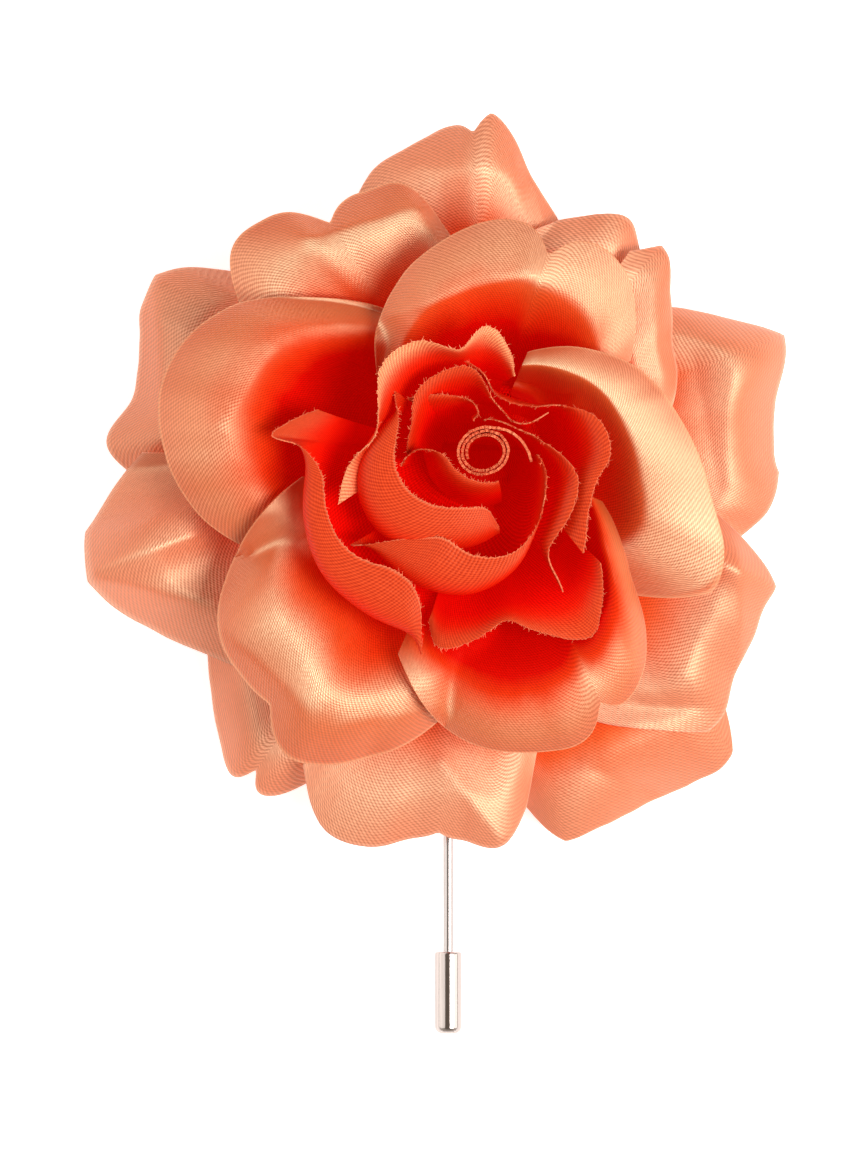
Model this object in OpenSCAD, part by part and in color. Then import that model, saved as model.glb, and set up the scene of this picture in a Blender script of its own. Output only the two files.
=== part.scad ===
// A lapel pin with a full cloth rose lying on its back.
// Lengths are in millimetres. The flower faces up, the needle runs toward -y,
// and z = 0 is the surface the pin lies on.

/* [Flower] */
// Reach of the longest petal from the middle of the roll
flower_r = 50; // [48:0.5:60]
// Height of the highest petal rim above the surface
flower_h = 32; // [30:0.5:35]
// Thickness of the cloth wall of a petal
cloth_t = 1; // [0.8:0.05:1.1]
// Clear space between one petal and the next
petal_gap = 0.35; // [0.25:0.05:0.5]
// Sideways place of the roll from the middle of the part
roll_x = 5.8; // [4:0.1:8]
// Place of the roll along the needle's direction
roll_y = 14.9; // [12:0.1:18]

/* [Roll] */
// Radius of the tight roll in the middle of the rose, outside
roll_r = 3.2; // [2.8:0.1:3.4]
// Turns of cloth in the roll
roll_turns = 1.3; // [1:0.1:1.4]

/* [Back] */
// Radius of the solid heart that the petals are sewn to
core_r = 8.4; // [8:0.1:9]
// Top of the solid heart above the surface
core_top = 17.6; // [16:0.1:18]
// Radius of the felt disc that closes the back
felt_r = 12; // [10:0.5:15]
// Thickness of the felt disc
felt_t = 1.4; // [1:0.1:1.5]
// Radius of the metal pad behind the felt
pad_r = 5; // [4:0.25:7]
// Thickness of the metal pad
pad_t = 0.8; // [0.6:0.05:0.9]

/* [Pin] */
// Sideways place of the needle from the middle of the part
needle_x = 1.6; // [0:0.1:4]
// Thickness of the needle
needle_d = 1.2; // [1:0.05:1.3]
// Free length of the needle from its boss to the mouth of the cap
needle_l = 51; // [45:0.5:60]
// Outside thickness of the cap
cap_d = 3.2; // [3:0.1:3.2]
// Length of the cap
cap_l = 9.9; // [8:0.1:12]
// Clear space around the needle inside the cap
cap_fit = 0.05; // [0.05:0.01:0.1]
// Height of the needle's middle line above the surface
needle_z = 1.6; // [1.6:0.05:1.7]

/* [Hidden] */
satin = [0.94, 0.50, 0.36];
felt = [0.88, 0.42, 0.32];
steel = [0.80, 0.79, 0.78];

// One layer of cloth and the clear space over it
step = cloth_t + petal_gap;
// The felt lies over the pad, the heart and the outer petals over the felt
pad_z = needle_z + needle_d / 2 + 0.2;
felt_z = pad_z + pad_t + 0.15;
outer_z = felt_z + felt_t + 0.3 + cloth_t / 2;
middle_z = outer_z + 3 * step + 1.5;
small_z = core_top + 0.8;
root_r = core_r + 0.6;
// Share by which the raised middle ring looks wider than it is from above
nearer = 0.014;
// How much thinner the needle's radius is where the cap grips it
neck = 0.2;
// Where the needle leaves its boss and where the cap's mouth is
boss_y = 6.2;
mouth_y = boss_y - needle_l;

// Flat petals, lowest first. from and to are the bearings of the two sides
// in degrees about the roll. The seven reaches are hundredths of flower_r at
// seven even ribs between the sides. The three crests are hundredths of
// flower_h at the first side, the middle and the last side. fall is how far
// the rim rolls down past the crest, at is how far out the crest lies.
// cut_at, cut and cut_w place the notch in the rim. over lists the rows
// that this petal lies on.
// [root, from, to, reach 1 to 7, crest 1 to 3, fall, at, cut_at, cut, cut_w, over]
FLAT = [
  [0, 72, 120, [58.3, 66.5, 80.0, 78.6, 75.4, 72.2, 64.8], [30, 36, 30], 16, 0.80, 0.41, 4.3, 0.04, []],
  [0, 46, 82, [56.4, 61.0, 65.5, 63.4, 59.5, 55.4, 50.4], [38, 42, 38], 12, 0.82, 0.5, 0, 0.1, [0]],
  [0, 12, 54, [45.6, 48.5, 50.9, 53.3, 57.8, 63.6, 58.8], [42, 48, 46], 10, 0.86, 0.5, 0, 0.1, [1, 3]],
  [0, -20, 40, [62.9, 69.8, 69.4, 70.6, 75.1, 64.8, 54.7], [28, 36, 30], 34, 0.78, 0.5, 0, 0.1, []],
  [0, 292, 346, [69.1, 77.0, 84.5, 79.9, 77.0, 72.5, 56.4], [38, 44, 40], 26, 0.80, 0.5, 0, 0.1, [3, 5]],
  [0, 274, 316, [79.2, 92.9, 93.6, 92.4, 93.4, 92.6, 76.8], [24, 30, 26], 29, 0.80, 0.5, 0, 0.1, []],
  [0, 240, 280, [86.4, 97.4, 98.2, 93.8, 92.9, 92.9, 72.0], [34, 40, 36], 14, 0.84, 0.58, 1.7, 0.04, [5, 7]],
  [0, 212, 244, [78.0, 83.3, 88.3, 93.8, 99.5, 96.0, 85.2], [22, 26, 24], 25, 0.84, 0.70, 6.0, 0.04, []],
  [0, 180, 222, [81.6, 90.7, 97.2, 97.0, 89.8, 82.8, 77.3], [34, 40, 36], 28, 0.80, 0.5, 0, 0.1, [7, 9]],
  [0, 142, 186, [69.6, 85.0, 88.8, 85.9, 85.4, 90.5, 80.4], [26, 32, 26], 30, 0.80, 0.5, 0, 0.1, []],
  [1, 98, 150, [51.6, 67.4, 69.4, 70.6, 77.0, 78.2, 67.2], [54, 58, 54], 18, 0.80, 0.5, 4.0, 0.05, []],
  [1, 122, 206, [39.6, 53.5, 69.6, 78.7, 77.3, 70.8, 57.6], [54, 78, 64], 18, 0.80, 0.5, 0, 0.1, [10]],
  [1, 32, 146, [41.5, 54.7, 57.1, 55.2, 49.2, 41.5, 31.0], [70, 82, 58], 10, 0.80, 0.35, 4.8, 0.03, [10, 11]],
  [1, 188, 264, [44.0, 62.4, 76.3, 80.9, 87.0, 76.8, 61.2], [60, 77, 66], 26, 0.78, 0.55, 3.4, 0.04, [11]],
  [1, -48, 66, [45.6, 62.9, 55.2, 48.0, 42.2, 34.0, 26.0], [60, 84, 74], 16, 0.78, 0.5, 0, 0.1, [12]],
  [1, 247, 337, [53.0, 67.2, 72.7, 73.2, 63.8, 44.0, 31.0], [62, 88, 76], 22, 0.80, 0.53, 5.8, 0.03, [13, 14]]
];

// Folds of the flat petals. row is the petal, in and out are the places of
// the fold between the sides at the root and at the rim, high is its height
// in hundredths of flower_h and wide is its width as a share of the petal.
// [row, in, out, high, wide]
FOLDS = [
  [8, 0.10, 0.42, 8, 0.14],
  [3, 0.50, 0.62, 5, 0.16],
  [5, 0.50, 0.30, 5, 0.18],
  [13, 0.60, 0.35, 5, 0.16],
  [11, 0.60, 0.75, 5, 0.16],
  [0, 0.50, 0.38, 4, 0.10]
];

// Standing petals, each one a table with a row for each fold of its rim.
// bearing is in degrees about the roll, foot, belly and rim are reaches in
// hundredths of flower_r and top is the rim's height in hundredths of flower_h.
// [bearing, foot, belly, rim, top]
INNER_1 = [[176, 21.4, 36, 50, 88], [178, 21.4, 38, 43, 93], [188, 21.8, 38, 38.6, 95], [203, 21.4, 41, 39.8, 95],
  [217, 21.8, 44, 39.4, 95], [234, 21.8, 45, 35, 96], [246, 21, 43, 38, 95], [253, 20.6, 43, 50, 90]];
INNER_2 = [[200, 17.8, 27.4, 36.6, 89], [186, 18, 26, 32, 92], [173, 18.4, 25.6, 26, 96], [158, 18.4, 26, 27, 98],
  [140, 18, 26.4, 31.4, 97], [122, 18, 25.6, 30.4, 96], [104, 18, 23.4, 24.6, 98], [89, 18, 23, 29.4, 97],
  [76, 17.8, 20, 24.4, 94], [68, 17.4, 17.6, 19, 90]];
INNER_3 = [[257, 20.2, 33.6, 47.5, 89], [266, 20.2, 33.4, 45, 91], [277, 20, 32, 40.4, 93],
  [286, 19.8, 31.4, 44, 92], [299, 19.6, 31, 50.4, 89]];
INNER_4 = [[314, 18.6, 23.4, 33.6, 90], [328, 18.2, 21.6, 28.8, 92], [344, 18, 21.4, 27.4, 94],
  [0, 18, 23.6, 29.8, 94], [17, 18, 22.6, 27.4, 93], [31, 17.8, 20, 20.4, 90]];
SMALL_1 = [[194, 12, 15.6, 19.4, 90], [188, 10.8, 12.4, 14, 93], [200, 9.4, 9.6, 9.6, 95],
  [232, 9.4, 10.4, 9.2, 95], [268, 9.4, 10, 9.2, 93], [298, 9.4, 9.6, 9.2, 90]];
SMALL_2 = [[143, 9.4, 12, 16.6, 90], [124, 9.4, 11.8, 14, 91], [107, 9.4, 10.8, 11.6, 91], [98, 9.4, 9.4, 9.2, 91]];
SMALL_3 = [[299, 16.2, 24, 38, 84], [303, 16, 21.4, 28, 90], [326, 15.2, 18.8, 25, 94], [345, 14.2, 17.6, 22.6, 96],
  [5, 12, 13.6, 15, 97], [14, 10.6, 11.8, 12.6, 95]];
SMALL_4 = [[217, 17.6, 29.8, 37.8, 88], [232, 17.4, 28, 26, 93], [246, 16.6, 27.4, 22.6, 95], [264, 15.6, 25.4, 24.6, 95],
  [284, 14.2, 20.4, 25, 95], [303, 12.2, 15.8, 22, 94], [324, 11.4, 13, 17.4, 94], [344, 10.6, 11.6, 14.4, 93]];
SMALL_5 = [[178, 12, 15, 17.6, 86], [160, 12, 15, 18.4, 91], [138, 12, 16.2, 21.2, 94], [115, 12, 16, 21, 95],
  [98, 12, 15, 19.6, 96], [82, 12, 12, 12.6, 95], [62, 11, 10, 9.8, 94], [44, 10.6, 9.6, 9.4, 93], [31, 11.4, 12, 12, 92],
  [32, 12.4, 15, 17.6, 90]];
SMALL_6 = [[150, 15, 19.6, 24, 92], [168, 15, 19.2, 21.2, 95], [186, 14.8, 21.4, 21.2, 96], [206, 14, 23.2, 20.2, 96],
  [226, 13, 21.6, 17.6, 96], [250, 12.6, 16.5, 14.2, 96], [272, 12, 14, 13.6, 94], [281, 12, 15, 18, 91]];

// Smooth value at share t along a row of even values
function even(v, t) =
  let (n = len(v) - 1, s = min(max(t, 0), 1) * n, i = min(floor(s), n - 1), f = s - i,
       a = i > 0 ? v[i - 1] : 2 * v[0] - v[1], b = v[i], c = v[i + 1],
       d = i + 2 <= n ? v[i + 2] : 2 * v[n] - v[n - 1])
  b + f * (c - a + f * (2 * a - 5 * b + 4 * c - d + f * (3 * (b - c) + d - a))) / 2;
// Smooth curve through three values at the start, the middle and the end
function through(v, t) = v[0] * (1 - t) * (1 - 2 * t) + 4 * v[1] * t * (1 - t) + v[2] * t * (2 * t - 1);
// The larger of two heights with a soft meeting
function soft_max(a, b) = (a + b + sqrt((a - b) * (a - b) + 0.25)) / 2;
// A bearing turned by whole turns to lie near another one
function near(a, b) = a - 360 * round((a - b) / 360);

// Rim reach of a flat petal in mm at share u between its sides
function rim(p, u) = (1 - p[0] * nearer) * flower_r / 100
  * (even(p[3], u) - p[8] * exp(-pow((u - p[7]) / p[9], 2))) - 0.4 * cloth_t;
// Height of a flat petal by itself at share u across and share f out to its rim
function lone(k, u, f) =
  let (p = FLAT[k], base = p[0] > 0 ? middle_z : outer_z,
       crest = max(through(p[4], u) * flower_h / 100, base + 1), at = p[6], g = min(f, 1.1),
       body = g < at ? base + (crest - base) * sin(90 * pow(max(g, 0) / at, p[0] > 0 ? 1.9 : 0.9))
         : crest - p[5] * flower_h / 100 * (0.3 + 0.7 * sin(180 * u)) * pow((g - at) / (1 - at), 2),
       folds = [for (w = FOLDS) if (w[0] == k)
         w[3] * flower_h / 100 * g * exp(-pow((u - w[1] - (w[2] - w[1]) * g) / w[4], 2))])
  max(body + (len(folds) > 0 ? folds[0] : 0), 0.55 * cloth_t);
// Height of petal k at reach r and bearing b, lifted over the petals it lies on
function lie(k, r, b) =
  let (p = FLAT[k], a = near(b, (p[1] + p[2]) / 2), u = (a - p[1]) / (p[2] - p[1]), v = min(max(u, 0), 1),
       f = (r - root_r) / (rim(p, v) - root_r), side = abs(u - v) * (p[2] - p[1]) / 9,
       past = max(f - 1, 0) * 12)
  lifted(lone(k, v, f), p[10], 0, r, b) - step * (side * side + past * past);
// A height raised over the rows listed from place i on
function lifted(z, over, i, r, b) =
  i == len(over) ? z : lifted(soft_max(z, lie(over[i], r, b)
    + (FLAT[over[i]][0] > 0 ? 1.7 : 1.35) * step * steep(over[i], r, b)), over, i + 1, r, b);
// How much more upright room a layer needs where petal k is steep
function steep(k, r, b) =
  let (p = FLAT[k], a = near(b, (p[1] + p[2]) / 2), u = min(max((a - p[1]) / (p[2] - p[1]), 0), 1),
       span = rim(p, u) - root_r, f = (r - root_r) / span,
       s = (lone(k, u, f + 0.02) - lone(k, u, f - 0.02)) / (0.04 * span))
  min(sqrt(1 + s * s), 2.4);
// Point of a flat petal at share u across and share f out
function flat_point(k, u, f) =
  let (p = FLAT[k], b = p[1] + (p[2] - p[1]) * u, r = root_r + (rim(p, u) - root_r) * f)
  [roll_x + r * cos(b), roll_y + r * sin(b), lie(k, r, b)];
// Point of a standing petal at share u along its rim and share v up
function stand_point(t, u, v) =
  let (n = len(t), turn = [for (i = 0; i < n; i = i + 1) near(t[i][0], t[floor(n / 2)][0])],
       b = even(turn, u), top = even([for (w = t) w[4]], u) * flower_h / 100,
       r = through([for (c = [1, 2, 3]) even([for (w = t) w[c]], u)], v) * flower_r / 100)
  [roll_x + r * cos(b), roll_y + r * sin(b), small_z + (top - small_z) * v];

// A closed wall of cloth on both sides of a grid of points
module wall(g) {
  m = len(g) - 1;
  n = len(g[0]) - 1;
  w = n + 1;
  all = (m + 1) * w;
  side = [for (i = [0 : m], j = [0 : n])
    let (a = g[min(i + 1, m)][j] - g[max(i - 1, 0)][j], b = g[i][min(j + 1, n)] - g[i][max(j - 1, 0)],
         c = cross(a, b)) c * cloth_t / 2 / norm(c)];
  mid = [for (row = g, q = row) q];
  up = [for (i = [0 : m - 1], j = [0 : n - 1], h = [0, 1])
    let (a = i * w + j) h == 0 ? [a, a + 1, a + w] : [a + 1, a + w + 1, a + w]];
  edge = concat([for (j = [0 : n - 1]) [j, j + 1]], [for (i = [0 : m - 1]) [i * w + n, i * w + n + w]],
    [for (j = [n : -1 : 1]) [m * w + j, m * w + j - 1]], [for (i = [m : -1 : 1]) [i * w, i * w - w]]);
  polyhedron(concat(mid + side, mid - side), concat(up,
    [for (f = up) [f[2] + all, f[1] + all, f[0] + all]],
    [for (e = edge) [e[1], e[0], e[0] + all]], [for (e = edge) [e[1], e[0] + all, e[1] + all]]));
}

// Shares out from the root where a flat petal has its rows
FLAT_OUT = [0, 0.15, 0.3, 0.45, 0.59, 0.71, 0.81, 0.91, 1];
module flat_petal(k) {
  p = FLAT[k];
  across = concat([for (i = [0 : 12]) if (p[8] == 0 || i / 12 < p[7] - 0.055) i / 12],
    [for (i = [-1 : 1]) if (p[8] > 0) p[7] + i * 0.9 * p[9]],
    [for (i = [0 : 12]) if (p[8] > 0 && i / 12 > p[7] + 0.055) i / 12]);
  wall([for (u = across) [for (f = FLAT_OUT) flat_point(k, u, f)]]);
}

module standing_petal(t) {
  n = 2 * len(t) - 2;
  wall([for (i = [0 : n]) [for (j = [0 : 4]) stand_point(t, i / n, j / 4)]]);
}

module pin() {
  color(steel) union() {
    translate([needle_x, boss_y + pad_r, pad_z]) cylinder(h = pad_t, r = pad_r, $fn = 64);
    translate([needle_x, boss_y + pad_r * 2, needle_z]) rotate([90, 0, 0])
      cylinder(h = pad_r * 2, r = needle_d / 2 + 0.4, $fn = 32);
    translate([needle_x, boss_y + 1, needle_z]) rotate([90, 0, 0])
      cylinder(h = needle_l + 1, r = needle_d / 2, $fn = 32);
    translate([needle_x, mouth_y, needle_z]) rotate([90, 0, 0])
      cylinder(h = cap_l * 0.5, r = needle_d / 2 - neck, $fn = 32);
    translate([needle_x, mouth_y - cap_l * 0.5, needle_z]) rotate([90, 0, 0])
      cylinder(h = cap_l * 0.25, r1 = needle_d / 2 - neck, r2 = 0.1, $fn = 32);
  }
}

module cap() {
  r = cap_d / 2;
  bore = needle_d / 2 - neck + cap_fit;
  color(steel) translate([needle_x, mouth_y, needle_z]) rotate([90, 0, 0]) rotate_extrude($fn = 48)
    polygon(concat([[bore, 0.05], [r - 0.25, 0.05]], [for (a = [0 : 30 : 90]) [r - 0.25 + 0.25 * sin(a), 0.3 - 0.25 * cos(a)]],
      [for (a = [0 : 10 : 90]) [r * (0.45 + 0.55 * cos(a)), cap_l - r * 0.55 + r * 0.55 * sin(a)]],
      [[0, cap_l], [0, cap_l * 0.85], [bore, cap_l * 0.8]]));
}

module felt_back() {
  color(felt) translate([roll_x - 2, roll_y - 2, felt_z]) cylinder(h = felt_t, r = felt_r, $fn = 72);
}

module heart() {
  low = felt_z + felt_t + 0.2;
  color(satin) translate([roll_x, roll_y, 0]) rotate_extrude($fn = 64)
    polygon([[0, low], [core_r, low], [core_r, core_top - 1.5], [core_r - 0.4, core_top - 0.5],
      [core_r - 1.5, core_top], [0, core_top]]);
}

module roll() {
  n = round(30 * roll_turns);
  pitch = step;
  r1 = roll_r - cloth_t / 2 - pitch * roll_turns;
  spiral = [for (i = [0 : n]) [r1 + pitch * roll_turns * i / n, -60 + 360 * roll_turns * i / n]];
  outside = [for (s = spiral) (s[0] + cloth_t / 2) * [cos(s[1]), sin(s[1])]];
  inside = [for (i = [n : -1 : 0]) (spiral[i][0] - cloth_t / 2) * [cos(spiral[i][1]), sin(spiral[i][1])]];
  color(satin) translate([roll_x, roll_y - 0.4, small_z]) linear_extrude(height = 0.93 * flower_h - small_z)
    polygon(concat(outside, inside));
}

module outer_petal_1() { color(satin) flat_petal(0); }
module outer_petal_2() { color(satin) flat_petal(1); }
module outer_petal_3() { color(satin) flat_petal(2); }
module outer_petal_4() { color(satin) flat_petal(3); }
module outer_petal_5() { color(satin) flat_petal(4); }
module outer_petal_6() { color(satin) flat_petal(5); }
module outer_petal_7() { color(satin) flat_petal(6); }
module outer_petal_8() { color(satin) flat_petal(7); }
module outer_petal_9() { color(satin) flat_petal(8); }
module outer_petal_10() { color(satin) flat_petal(9); }
module middle_petal_1() { color(satin) flat_petal(10); }
module middle_petal_2() { color(satin) flat_petal(11); }
module middle_petal_3() { color(satin) flat_petal(12); }
module middle_petal_4() { color(satin) flat_petal(13); }
module middle_petal_5() { color(satin) flat_petal(14); }
module middle_petal_6() { color(satin) flat_petal(15); }
module inner_petal_1() { color(satin) standing_petal(INNER_1); }
module inner_petal_2() { color(satin) standing_petal(INNER_2); }
module inner_petal_3() { color(satin) standing_petal(INNER_3); }
module inner_petal_4() { color(satin) standing_petal(INNER_4); }
module small_petal_1() { color(satin) standing_petal(SMALL_1); }
module small_petal_2() { color(satin) standing_petal(SMALL_2); }
module small_petal_3() { color(satin) standing_petal(SMALL_3); }
module small_petal_4() { color(satin) standing_petal(SMALL_4); }
module small_petal_5() { color(satin) standing_petal(SMALL_5); }
module small_petal_6() { color(satin) standing_petal(SMALL_6); }

pin();
cap();
felt_back();
heart();
roll();
outer_petal_1();
outer_petal_2();
outer_petal_3();
outer_petal_4();
outer_petal_5();
outer_petal_6();
outer_petal_7();
outer_petal_8();
outer_petal_9();
outer_petal_10();
middle_petal_1();
middle_petal_2();
middle_petal_3();
middle_petal_4();
middle_petal_5();
middle_petal_6();
inner_petal_1();
inner_petal_2();
inner_petal_3();
inner_petal_4();
small_petal_1();
small_petal_2();
small_petal_3();
small_petal_4();
small_petal_5();
small_petal_6();
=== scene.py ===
import math
import random
from collections import namedtuple
from functools import partial

import bmesh
import bpy
import numpy as np
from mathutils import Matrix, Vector


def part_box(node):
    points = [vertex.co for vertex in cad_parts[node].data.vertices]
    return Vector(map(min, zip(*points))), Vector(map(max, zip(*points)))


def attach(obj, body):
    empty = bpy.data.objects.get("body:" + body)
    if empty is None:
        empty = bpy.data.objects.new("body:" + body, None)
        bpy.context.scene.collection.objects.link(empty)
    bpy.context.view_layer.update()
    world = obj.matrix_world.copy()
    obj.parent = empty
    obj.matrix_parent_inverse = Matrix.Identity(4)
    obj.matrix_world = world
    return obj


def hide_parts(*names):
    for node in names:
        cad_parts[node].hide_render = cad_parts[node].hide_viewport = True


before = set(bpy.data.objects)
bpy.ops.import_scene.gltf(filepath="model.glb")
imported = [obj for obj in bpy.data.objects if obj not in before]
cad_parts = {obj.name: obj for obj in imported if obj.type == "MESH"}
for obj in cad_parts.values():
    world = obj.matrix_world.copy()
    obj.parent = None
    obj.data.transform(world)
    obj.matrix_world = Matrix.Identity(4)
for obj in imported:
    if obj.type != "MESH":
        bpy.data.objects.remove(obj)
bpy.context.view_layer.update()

# A rose of satin petals on a stick pin, lying on its back on a white table. Each petal is one sheet of
# cloth laid on a surface worked out from the tables below, round the tight roll in the middle.

MM = 0.001

# Sizes in millimetres, the same as the CAD part's. ROLL is the place of the roll.
FLOWER_R = 50.0
FLOWER_H = 32.0
CLOTH = 1.0
GAP = 0.35
ROLL = (5.8, 14.9)
CORE_R = 8.4
CORE_TOP = 17.6
FELT_Z = 3.35
FELT_T = 1.4

# Cloth as it shows, thinner than the CAD walls, and thinner still in the frayed petals of the middle
SATIN_T = 0.3
FINE_SATIN_T = 0.16
# Its weave. A wave texture of scale BAND has bands one unit apart, and the cloth's UV map is in
# millimetres. Real satin has about five ribs to a millimetre, drawn here coarser so that they show.
BAND = 0.314
RIB = 0.42
WEFT = 0.36

# Heights and reaches that follow from the sizes
STEP = CLOTH + GAP
OUTER_Z = FELT_Z + FELT_T + 0.3 + CLOTH / 2
MIDDLE_Z = OUTER_Z + 3 * STEP + 1.5
SMALL_Z = CORE_TOP + 0.8
ROOT_R = CORE_R + 0.6
# How far a flat petal's root is carried in under the heart's gathers
ROOT_IN = 1.5
# How much smaller a middle petal is drawn, because it stands nearer to the camera
NEARER = 0.014

# For an outer and for a middle petal: how late it rises from its root (an exponent), how far in its
# crest is moved, and the share of its row's fall that it falls past the crest
LATE = (0.9, 1.6)
CREST_IN = (0, 0.05)
FALL_SHARE = (0.66, 0.60)
# Steps kept free over an outer and over a middle petal where another lies on it, and how many times
# more of it the steepest places get
ROOM = (1.35, 1.7)
STEEPEST_ROOM = 2.4
# Where a petal starts to be lifted by one it lies on, the change is rounded over this many mm
ROUNDING = 0.5
# A petal's surface is one step lower at this many degrees past its side, and at this share past its rim
SIDE_EASE = 9
RIM_EASE = 1 / 12

# A standing petal's skirt: how far it goes down, its share of the petal, and how far it is drawn in
# as a share of the way to the roll
SKIRT = 5.0
SKIRT_SHARE = 0.22
SKIRT_IN = 0.22

# Flat petals, a row each: ring (0 outer, 1 middle), bearings of the two sides, rim reach at seven ribs,
# crest heights at three places, fall of the rim past the crest, place of the crest, place, depth and
# width of the notch, and the rows that the petal lies on. Reaches and depths are hundredths of
# FLOWER_R, heights hundredths of FLOWER_H, places shares.
Petal = namedtuple("Petal", "ring start end reach crest fall crest_at notch_at notch_deep notch_wide under")
FLAT = [Petal(*row) for row in [
    [0, 72, 120, [58.3, 66.5, 80.0, 78.6, 75.4, 72.2, 64.8], [30, 36, 30], 16, 0.80, 0.41, 4.3, 0.04, []],
    [0, 46, 82, [56.4, 61.0, 65.5, 63.4, 59.5, 55.4, 50.4], [38, 42, 38], 12, 0.82, 0.5, 0, 0.1, [0]],
    [0, 12, 54, [45.6, 48.5, 50.9, 53.3, 57.8, 63.6, 58.8], [42, 48, 46], 10, 0.86, 0.5, 0, 0.1, [1, 3]],
    [0, -20, 40, [62.9, 69.8, 69.4, 70.6, 75.1, 64.8, 54.7], [28, 36, 30], 34, 0.78, 0.5, 0, 0.1, []],
    [0, 292, 346, [69.1, 77.0, 84.5, 79.9, 77.0, 72.5, 56.4], [38, 44, 40], 26, 0.80, 0.5, 0, 0.1, [3, 5]],
    [0, 274, 316, [79.2, 92.9, 93.6, 92.4, 93.4, 92.6, 76.8], [24, 30, 26], 29, 0.80, 0.5, 0, 0.1, []],
    [0, 240, 280, [86.4, 97.4, 98.2, 93.8, 92.9, 92.9, 72], [34, 40, 36], 14, 0.84, 0.58, 1.7, 0.04, [5, 7]],
    [0, 212, 244, [78.0, 83.3, 88.3, 93.8, 99.5, 96.0, 85.2], [22, 26, 24], 25, 0.84, 0.70, 6.0, 0.04, []],
    [0, 180, 222, [81.6, 90.7, 97.2, 97.0, 89.8, 82.8, 77.3], [34, 40, 36], 28, 0.80, 0.5, 0, 0.1, [7, 9]],
    [0, 142, 186, [69.6, 85.0, 88.8, 85.9, 85.4, 90.5, 80.4], [26, 32, 26], 30, 0.80, 0.5, 0, 0.1, []],
    [1, 98, 150, [51.6, 67.4, 69.4, 70.6, 77.0, 78.2, 67.2], [54, 58, 54], 18, 0.83, 0.5, 4.0, 0.05, []],
    [1, 122, 206, [39.6, 53.5, 69.6, 78.7, 77.3, 70.8, 57.6], [54, 78, 64], 18, 0.78, 0.5, 0, 0.1, [10]],
    [1, 32, 146, [41.5, 54.7, 57.1, 55.2, 49.2, 41.5, 31], [70, 82, 58], 10, 0.7, 0.35, 7.5, 0.04, [10, 11]],
    [1, 188, 264, [44.0, 62.4, 76.3, 80.9, 87.0, 76.8, 61.2], [60, 77, 66], 26, 0.78, 0.55, 3.4, 0.04, [11]],
    [1, -48, 66, [45.6, 62.9, 55.2, 48.0, 42.2, 34.0, 26.0], [60, 84, 88], 12, 0.62, 0.5, 0, 0.1, [12]],
    [1, 247, 337, [53, 67.2, 72.7, 73.2, 63.8, 44, 31], [62, 88, 76], 18, 0.8, 0.53, 5.8, 0.03, [13, 14]],
]]

# Broad folds that run out from the root: petal row, place across at the root and at the rim, height at
# the rim in hundredths of FLOWER_H, width as a share across
FOLDS = [[8, 0.10, 0.42, 8, 0.14], [3, 0.50, 0.62, 5, 0.16], [5, 0.50, 0.30, 5, 0.18],
         [13, 0.60, 0.35, 5, 0.16], [11, 0.60, 0.75, 5, 0.16], [0, 0.50, 0.38, 4, 0.10]]

# Corners of the rims: petal row, place across, how far it sticks out in hundredths of FLOWER_R, width
CORNERS = [[3, 0.69, 3.0, 0.05], [3, 0.27, 1.5, 0.06], [4, 0.80, 2.5, 0.06], [4, 0.31, 1.5, 0.06],
           [8, 0.27, 1.5, 0.06], [8, 0.43, 1.5, 0.06], [5, 0.85, 1.5, 0.05], [5, 0.19, 1.5, 0.06],
           [9, 0.22, 2.0, 0.06], [14, 0.145, 2.5, 0.05], [2, 0.89, 2.5, 0.06], [6, 0.92, 2.0, 0.05],
           [0, 0.35, 1.2, 0.03]]

# How far the painted red shade of the root runs out on a petal, standing for the shade deep in the cups: an
# exponent, larger spreads more of it, 1 if not listed
RED_SHADE_REACH = {0: 0.9, 1: 0.6, 2: 0.8, 3: 0.75, 5: 1.8, 7: 0.8, 8: 0.5, 9: 0.8, 10: 0.78, 11: 1.15, 12: 0.82,
          13: 0.85, 14: 0.35, 15: 1.9}

# Creases pressed into the cloth: petal row, start x and y, end x and y in hundredths of FLOWER_R from
# the roll, height in mm (a valley where it is under 0), half width in mm
CREASES = [[8, -92, -28, -70, -20, 2.38, 5], [8, -92, -30, -64, -36, 1.7, 4],
           [3, 50, 22, 56, -8, -0.85, 5], [3, 68, 28, 40, 34, 1.36, 5], [4, 50, -24, 79, -36, 2.72, 4],
           [4, 60, -20, 62, -66, 1.7, 4], [5, 30, -66, 60, -60, 1.36, 5],
           [5, 22, -74, 50, -84, -1.36, 4], [6, -10, -74, 4, -92, 1.7, 4],
           [9, -78, 40, -76, 4, 2.04, 4], [0, -16, 68, 4, 66, 0.85, 5], [0, 8, 78, 14, 56, 1.19, 4],
           [2, 30, 46, 36, 20, 1.7, 4], [1, 8, 62, 30, 58, 1.7, 3], [11, -62, 6, -50, 24, 1.36, 4],
           [13, -62, -42, -42, -60, 1.53, 7], [13, -32, -64, -12, -61, 0.85, 7],
           [15, 20, -30, 42, -58, 0.68, 5], [12, -30, 30, 10, 42, 1.19, 4],
           [10, -42, 50, -14, 58, 1.36, 4]]

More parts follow.
